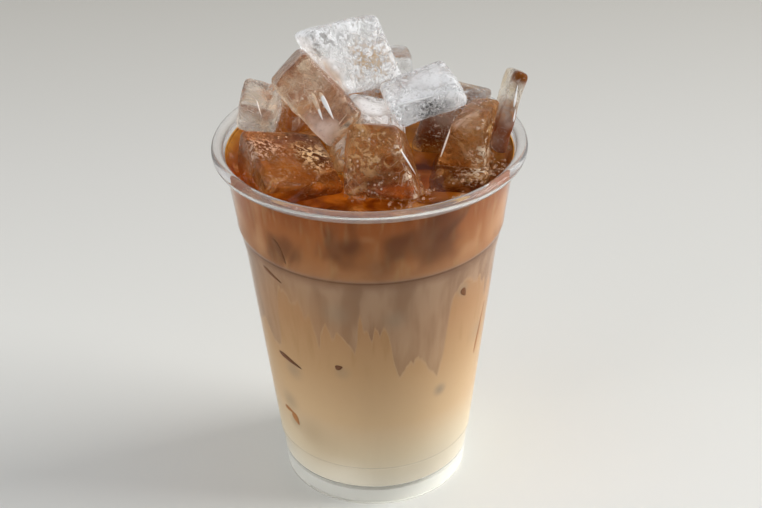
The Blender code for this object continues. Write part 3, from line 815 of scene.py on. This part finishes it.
class ICEDCOFFEE_OT_stage(bpy.types.Operator):
    """Set the camera, the pale floor and the soft light"""
    bl_idname = "iced_coffee.stage"
    bl_label = "Stage"

    def execute(self, context):
        scene = context.scene
        pitch, yaw, roll = (math.radians(a) for a in (CAMERA_PITCH, CAMERA_YAW, CAMERA_ROLL))
        forward = Vector((math.sin(yaw) * math.cos(pitch), math.cos(yaw) * math.cos(pitch), -math.sin(pitch)))
        level = Vector((math.cos(yaw), -math.sin(yaw), 0))
        upright = level.cross(forward)
        right = math.cos(roll) * level + math.sin(roll) * upright
        up = -math.sin(roll) * level + math.cos(roll) * upright
        data = bpy.data.cameras.new("camera")
        data.sensor_width = SENSOR_WIDTH
        data.lens = CAMERA_FOCAL_PX / IMAGE_WIDTH * SENSOR_WIDTH
        data.clip_start = 10 * MM
        camera = bpy.data.objects.new("camera", data)
        scene.collection.objects.link(camera)
        turn = Matrix((right, up, -forward)).transposed().to_4x4()
        camera.matrix_world = Matrix.Translation((0, -CAMERA_DISTANCE, CAMERA_HEIGHT)) @ turn
        scene.camera = camera

        deselect()
        bpy.ops.mesh.primitive_grid_add(x_subdivisions=40, y_subdivisions=40, size=6)
        floor = named("floor")
        dress(floor, floor_material())

        world = bpy.data.worlds.new("studio")
        scene.world = world
        world.use_nodes = True
        tree = world.node_tree
        toward = add_node(tree, "SeparateXYZ", i0=add_node(tree, "TexCoord").outputs["Generated"]).outputs
        low = ramp(tree, toward["Z"], [
            (0.0, (1.35, 1.35, 1.33)), (0.25, (1.1, 1.1, 1.1)), (0.6, (0.62, 0.63, 0.65)),
            (1.0, (0.5, 0.51, 0.53))])
        front = ramp(tree, linear(tree, toward["Y"], -1.0, 1.0), [
            (0.0, (0.45, 0.45, 0.45)), (0.28, (0.75, 0.75, 0.75)), (0.5, (1.0, 1.0, 1.0))])
        set_inputs(tree, tree.nodes["Background"], Color=mixed_colour(tree, 1.0, low, front, "MULTIPLY"),
                   Strength=SURROUNDINGS_STRENGTH)
        self.area_light("window", WINDOW_PLACE, WINDOW_SIZE, settings("stage").window, WINDOW_COLOUR)
        self.area_light("fill", FILL_PLACE, FILL_SIZE, settings("stage").fill, FILL_COLOUR)
        scene.view_settings.view_transform = "Standard"
        return {"FINISHED"}

    def area_light(self, name, place, size, power, colour):
        data = bpy.data.lights.new(name, "AREA")
        data.size = size
        data.energy = power
        data.color = colour
        light = bpy.data.objects.new(name, data)
        bpy.context.scene.collection.objects.link(light)
        aim = Vector(LIGHT_AIM) - Vector(place)
        light.matrix_world = Matrix.Translation(place) @ aim.to_track_quat("-Z", "Y").to_matrix().to_4x4()


class ICEDCOFFEE_OT_cup(bpy.types.Operator):
    """Turn the clear cup with its rolled lip, step and raised floor"""
    bl_idname = "iced_coffee.cup"
    bl_label = "Cup"

    def execute(self, context):
        lip_z = CUP_HEIGHT - LIP_RADIUS
        lip_r = RIM_RADIUS - LIP_RADIUS
        under_lip = CUP_HEIGHT - 2 * LIP_RADIUS
        # The wall bulges a little above the step and is drawn in below it
        heights = [
            (BEAD_Z + 0.5 * MM, 0.12 * MM), (BEAD_Z + 1.1 * MM, 0), (CONE_TOP_Z, 0), (BELOW_STEP_Z, 0),
            (STEP_Z - 1.6 * MM, -0.1 * MM), (STEP_Z - 0.5 * MM, -0.15 * MM), (STEP_Z + 0.3 * MM, 0.1 * MM),
            (STEP_Z + 1.2 * MM, 0.15 * MM), (STEP_Z + 2.4 * MM, 0), (under_lip - 1 * MM, 0)]
        inner_floor = wall_radius(FLOOR_Z) - WALL
        inside = [(inner_floor * 0.6, FLOOR_Z)] + arc(
            inner_floor - 1.5 * MM, FLOOR_Z + 1.5 * MM, 1.5 * MM, -90, 0, 5)
        inside += [(wall_radius(BEAD_Z) - WALL, UNDER_BEAD_Z)]
        inside += [(wall_radius(z) - WALL + bulge, z) for z, bulge in heights]
        lip = arc(lip_r, lip_z, LIP_RADIUS, 210, -90, 24)
        outside = [(wall_radius(under_lip) + 0.4 * MM, under_lip - 0.1 * MM)]
        outside += [(wall_radius(z) + bulge, z) for z, bulge in reversed(heights)]
        outside += [(wall_radius(BEAD_Z), UNDER_BEAD_Z), (FOOT_RADIUS + 0.05 * MM, 0.5 * MM)]
        foot_r = FOOT_RADIUS - 0.3 * MM
        foot = [(foot_r, 0), (foot_r - FOOT_WIDTH, 0)]
        hollow_r = inner_floor - 1.2 * MM
        under = [(hollow_r, FLOOR_Z - 2 * WALL), (hollow_r - 1 * MM, FLOOR_Z - WALL),
                 (hollow_r * 0.5, FLOOR_Z - WALL)]
        cup = turned("cup_wall", inside + lip + outside + foot + under, settings("cup").sides)
        dress(cup, *(plastic_material(*look) for look in PLASTICS))
        for face in cup.data.polygons:
            z = face.center.z
            if z > LEVEL + 0.5 * MM:
                face.material_index = LIP_PART
            elif z < FLOOR_Z - 0.1 * MM:
                face.material_index = FOOT_PART
            elif STEP_Z - 0.6 * MM < z < STEP_Z + 0.4 * MM or BEAD_Z - 0.5 * MM < z < BEAD_Z + 1.1 * MM:
                face.material_index = RIDGE_PART
            else:
                face.material_index = WALL_PART
        finish_piece(cup, "cup")
        return {"FINISHED"}


class ICEDCOFFEE_OT_ice(bpy.types.Operator):
    """Melt each block of ice into its rounded and dented form"""
    bl_idname = "iced_coffee.ice"
    bl_label = "Ice"

    def execute(self, context):
        for name in ICE_NODES:
            piece = self.melted(frame["nodes"][name])
            look, marks = ICE_LOOKS[name]
            dress(piece, ice_material(piece.name.replace("_", " "), look, marks))
            finish_piece(piece, name, smooth=60)
        self.air_streaks_and_highlights()
        return {"FINISHED"}

    def air_streaks_and_highlights(self):
        streaks = []
        for place, half, lean, turn in AIR_STREAKS_AND_HIGHLIGHTS:
            streak = sliver([half[0] * MM, half[2] * MM, half[1] * MM])
            streak.matrix_world = (Matrix.Translation([c * MM for c in place])
                                   @ Matrix.Rotation(math.radians(turn), 4, "Z")
                                   @ Matrix.Rotation(math.radians(-20), 4, "X")
                                   @ Matrix.Rotation(math.radians(lean), 4, "Y"))
            streaks.append(streak)
        piece = join(streaks, "air_streaks_and_highlights")
        apply_place(piece)
        # The white of trapped air, also the colour of the painted highlights
        made, tree, shader = new_material("trapped air")
        bright = noise_value(tree, object_coordinates(tree), 300, 2)
        colour = mixed_colour(tree, bright, (0.80, 0.80, 0.82), (1.0, 1.0, 1.0))
        set_inputs(tree, shader, Base_Color=colour, Roughness=0.15, Coat_Weight=1.0)
        dress(piece, made)
        finish_piece(piece, None)

    def melted(self, node):
        piece = merged_copy(node, melting_name(node.name))
        ice = settings("ice")
        add_modifier(piece, "REMESH", mode="VOXEL", voxel_size=ice.voxel)
        rounds = MOST_MELTING if node.name in MOST_MELTED else MELTING
        add_modifier(piece, "SMOOTH", factor=0.5, iterations=rounds)
        apply_modifiers(piece)
        places = [vert.co.copy() for vert in piece.data.vertices]
        normals = [vert.normal.copy() for vert in piece.data.vertices]
        for vert, place, normal in zip(piece.data.vertices, places, normals):
            wave = noise.noise(place * WAVES) + FINE_WAVE_SHARE * noise.noise(place * FINE_WAVES)
            vert.co = place + normal * ice.dents * (wave - WAVE_SINK)
        self.mark_edges(piece)
        return piece

    def mark_edges(self, piece):
        """Keeps how sharply the surface bends at each point, from 0 to 1, for the frost along the edges."""
        normals = [normal.vector.copy() for normal in piece.data.vertex_normals]
        bends = [0.0] * len(normals)
        for edge in piece.data.edges:
            a, b = edge.vertices
            bend = normals[a].angle(normals[b], 0.0) / SHARP_BEND
            bends[a], bends[b] = max(bends[a], bend), max(bends[b], bend)
        keep_values(piece, "bend", (min(1.0, bend) for bend in bends))


def sliver(half):
    """A slender lens with one end drawn out to a point. Its half lengths are given in metres."""
    deselect()
    bpy.ops.mesh.primitive_uv_sphere_add(segments=24, ring_count=12, radius=1)
    piece = named("sliver")
    edit_whole(bpy.ops.transform.resize, value=half)
    for vert in piece.data.vertices:
        vert.co.z *= 0.65 - 0.35 * vert.co.x / half[0]
    return piece


def merged_copy(node, name):
    """A copy of a node's mesh with its loose triangles merged, as an object of its own."""
    deselect()
    piece = node.copy()
    piece.data = node.data.copy()
    for key in list(piece.keys()):
        del piece[key]
    piece.parent = None
    bpy.context.scene.collection.objects.link(piece)
    piece.name = name
    piece.data.name = name
    activate(piece)
    edit_whole(bpy.ops.mesh.remove_doubles, threshold=0.01 * MM)
    return piece


def ice_cutter():
    """All the ice as one cutter, drawn in a little, so that the ice reaches into what is cut."""
    copies = []
    for name in ICE_NODES:
        activate(bpy.data.objects[melting_name(name)])
        bpy.ops.object.duplicate()
        copies.append(named("cutter"))
    cutter = join(copies, "cutter")
    activate(cutter)
    edit_whole(bpy.ops.transform.shrink_fatten, value=-CAVITY_GAP)
    return cutter


def tongue_edge(angle):
    """Height of the mixed layer's lower edge, at an angle in degrees from the front."""
    edge = TONGUE_TOP_Z
    for turn, share in TONGUE_SETS:
        here = (angle - turn + 180) % 360 - 180
        for (left, left_z), (right, right_z) in zip(TONGUE_EDGE, TONGUE_EDGE[1:]):
            if left <= here < right:
                z = left_z + (right_z - left_z) * (here - left) / (right - left)
                edge = min(edge, TONGUE_TOP_Z - (TONGUE_TOP_Z - z * MM) * share)
    return edge


class ICEDCOFFEE_OT_drink(bpy.types.Operator):
    """Fill the cup with the layers of the drink, cut round the ice"""
    bl_idname = "iced_coffee.drink"
    bl_label = "Drink"

    def edge(self, z):
        return wall_radius(z) - WALL + settings("drink").reach

    def ring(self, z, inward=0, rise=0):
        """Radius and height of a ring at the drink's edge, moved inward by some mm and raised."""
        return self.edge(z) - inward * MM, z + rise

    def half_way(self, z, rise=0):
        return self.edge(z) * 0.5, z + rise

    def execute(self, context):
        ring, half, meniscus = self.ring, self.half_way, settings("drink").meniscus
        sides, top = settings("cup").sides, TONGUE_TOP_Z
        coffee = turned("coffee", [
            half(DEEP_Z), ring(DEEP_Z, 2.4), ring(DEEP_Z, 1.1, 0.6 * MM), ring(LEVEL, 0.5, -0.6 * MM),
            ring(LEVEL, 0.25, meniscus), ring(LEVEL, 0, meniscus), ring(COFFEE_LOW), half(COFFEE_LOW)], sides)
        surface = turned("coffee_surface", [
            half(LEVEL), ring(LEVEL, 2.0), ring(LEVEL, 1.0, 0.2 * meniscus), ring(LEVEL, 0.4, 0.7 * meniscus),
            ring(LEVEL, 0.3, -1 * MM), ring(DEEP_Z, 0.6), ring(DEEP_Z, 2, -0.4 * MM),
            half(DEEP_Z, -0.4 * MM)], sides)
        mixed = turned("coffee_in_milk", [
            half(COFFEE_LOW), ring(COFFEE_LOW), ring(BELOW_STEP_Z), ring(top), half(top)], TONGUE_SIDES)
        milk = turned("milk", [
            half(top), ring(top), ring(MILK_MIDDLE_Z), ring(BEAD_Z + 1 * MM),
            (self.edge(BEAD_Z), UNDER_BEAD_Z), ring(FLOOR_Z + 1.5 * MM), ring(FLOOR_Z, 1, 0.2 * MM),
            half(FLOOR_Z, 0.2 * MM)], TONGUE_SIDES)
        for piece in (mixed, milk):
            self.hang_tongues(piece, top)
        cutter = ice_cutter()
        for piece in (coffee, surface):
            add_modifier(piece, "BOOLEAN", operation="DIFFERENCE", solver="MANIFOLD", object=cutter)
            apply_modifiers(piece)
        bpy.data.objects.remove(cutter)
        cloudy = deep_coffee_material()
        for piece, layer in ((coffee, "coffee_layer"), (mixed, "mixed_layer"), (milk, "milk_layer")):
            self.measure_tongues(piece)
            dress(piece, drink_material(piece.name.replace("_", " ")), cloudy)
            for face in piece.data.polygons:
                middle = face.center
                inner = math.hypot(middle.x, middle.y) < self.edge(middle.z) - 0.15 * MM
                face.material_index = int(piece is coffee and inner)
            finish_piece(piece, layer)
        dress(surface, clear_coffee_material())
        finish_piece(surface, "coffee_layer")
        self.wall_corners()
        self.froth()
        return {"FINISHED"}

    def hang_tongues(self, piece, top):
        """Moves the ring of points where mixed layer and milk meet down to the tongues' edge."""
        for vert in piece.data.vertices:
            if abs(vert.co.z - top) < 0.01 * MM and math.hypot(vert.co.x, vert.co.y) > self.edge(top) * 0.8:
                z = tongue_edge(angle_of(vert.co))
                share = self.edge(z) / self.edge(top)
                vert.co = (vert.co.x * share, vert.co.y * share, z)

    def measure_tongues(self, piece):
        """Keeps each point's height above the tongues' edge, in mm, for the material."""
        keep_values(piece, "above_tongues", (
            (vert.co.z - tongue_edge(angle_of(vert.co))) / MM for vert in piece.data.vertices))

    def wall_corners(self):
        """Slivers of sunken ice where they touch the wall, coloured dark as painted shade."""
        corners = []
        for angle, z, length, width, tilt, darkness in WALL_CORNERS:
            corner = sliver([length * MM, 0.3 * MM, width * MM])
            keep_values(corner, "darkness", [darkness] * len(corner.data.vertices))
            turn = math.radians(angle)
            reach = self.edge(z * MM) + 0.02 * MM
            place = Matrix.Translation((reach * math.sin(turn), -reach * math.cos(turn), z * MM))
            lean = math.atan2(wall_radius((z + 1) * MM) - wall_radius((z - 1) * MM), 2 * MM)
            corner.matrix_world = (place @ Matrix.Rotation(turn, 4, "Z") @ Matrix.Rotation(lean, 4, "X")
                                   @ Matrix.Rotation(math.radians(tilt), 4, "Y"))
            corners.append(corner)
        piece = join(corners, "ice_corners")
        apply_place(piece)
        dress(piece, wall_corner_shade_material())
        finish_piece(piece, None)

    def froth(self):
        """Small bubbles that float on the coffee along the ice and the wall, in patches."""
        drawn = random.Random(11)
        deselect()
        bpy.ops.mesh.primitive_ico_sphere_add(subdivisions=2, radius=1)
        model = named("bubble")
        edit_whole(bpy.ops.transform.resize, value=(1, 1, 0.8))
        graph = bpy.context.evaluated_depsgraph_get()
        blocks = [BVHTree.FromObject(bpy.data.objects[melting_name(name)], graph) for name in ICE_NODES]
        bubbles = []
        limit = self.edge(LEVEL) - 0.9 * MM
        for tried in range(20000):
            if len(bubbles) >= settings("drink").bubbles:
                break
            radius = math.sqrt(drawn.random()) * limit
            turn = drawn.random() * math.tau
            place = Vector((radius * math.sin(turn), -radius * math.cos(turn), LEVEL))
            nearest = [block.find_nearest(place, 6 * MM) for block in blocks]
            found = [(hit[3], (place - hit[0]).dot(hit[1])) for hit in nearest if hit[0] is not None]
            if any(side < 0 for away, side in found):
                continue
            away = min([limit - radius] + [away for away, side in found])
            gathered = any(math.hypot(place.x - x * MM, place.y - y * MM) < patch * MM
                           for x, y, patch in FROTH_PATCHES)
            if away > (5 if gathered else 0.5) * MM or not gathered and noise.noise(place * 90) < 0:
                continue
            size = (0.13 + 0.4 * drawn.random() ** 3) * MM
            bubbles.append(self.bubble(model, place + Vector((0, 0, 0.1 * MM)), size))
        for angle, z, size in WALL_BUBBLES:
            x, y, z = at_wall(angle, z)
            inward = 1 - WALL / wall_radius(z * MM)
            bubbles.append(self.bubble(model, (x * MM * inward, y * MM * inward, z * MM), size * MM))
        bpy.data.objects.remove(model)
        piece = join(bubbles, "froth")
        dress(piece, bubble_material())
        finish_piece(piece, None, smooth=80)

    def bubble(self, model, place, size):
        bubble = model.copy()
        bubble.data = model.data.copy()
        bpy.context.scene.collection.objects.link(bubble)
        bubble.data.transform(Matrix.Translation(place) @ Matrix.Scale(size, 4))
        return bubble


class ICEDCOFFEE_PT_panel(bpy.types.Panel):
    """Lists the pieces of the iced coffee"""
    bl_idname = "ICEDCOFFEE_PT_panel"
    bl_label = "Iced Coffee"
    bl_space_type = "VIEW_3D"
    bl_region_type = "UI"
    bl_category = "Iced Coffee"

    def draw(self, context):
        layout = self.layout
        for kind in GROUPS:
            box = layout.box()
            box.label(text=kind.title())
            group = getattr(context.scene, "iced_coffee_" + kind)
            for key in GROUPS[kind].__annotations__:
                box.prop(group, key)
        for step in STEPS:
            layout.operator(step.bl_idname)


GROUPS = {"cup": IcedCoffeeCup, "drink": IcedCoffeeDrink, "ice": IcedCoffeeIce, "stage": IcedCoffeeStage}
STEPS = (ICEDCOFFEE_OT_stage, ICEDCOFFEE_OT_cup, ICEDCOFFEE_OT_ice, ICEDCOFFEE_OT_drink)
CLASSES = (*GROUPS.values(), *STEPS, ICEDCOFFEE_PT_panel)


def register():
    for item in CLASSES:
        bpy.utils.register_class(item)
    for kind, group in GROUPS.items():
        setattr(bpy.types.Scene, "iced_coffee_" + kind, bpy.props.PointerProperty(type=group))


def unregister():
    for kind in GROUPS:
        delattr(bpy.types.Scene, "iced_coffee_" + kind)
    for item in reversed(CLASSES):
        bpy.utils.unregister_class(item)


def main():
    register()
    for step in STEPS:
        group, name = step.bl_idname.split(".")
        getattr(getattr(bpy.ops, group), name)()


if __name__ == "__main__":
    main()
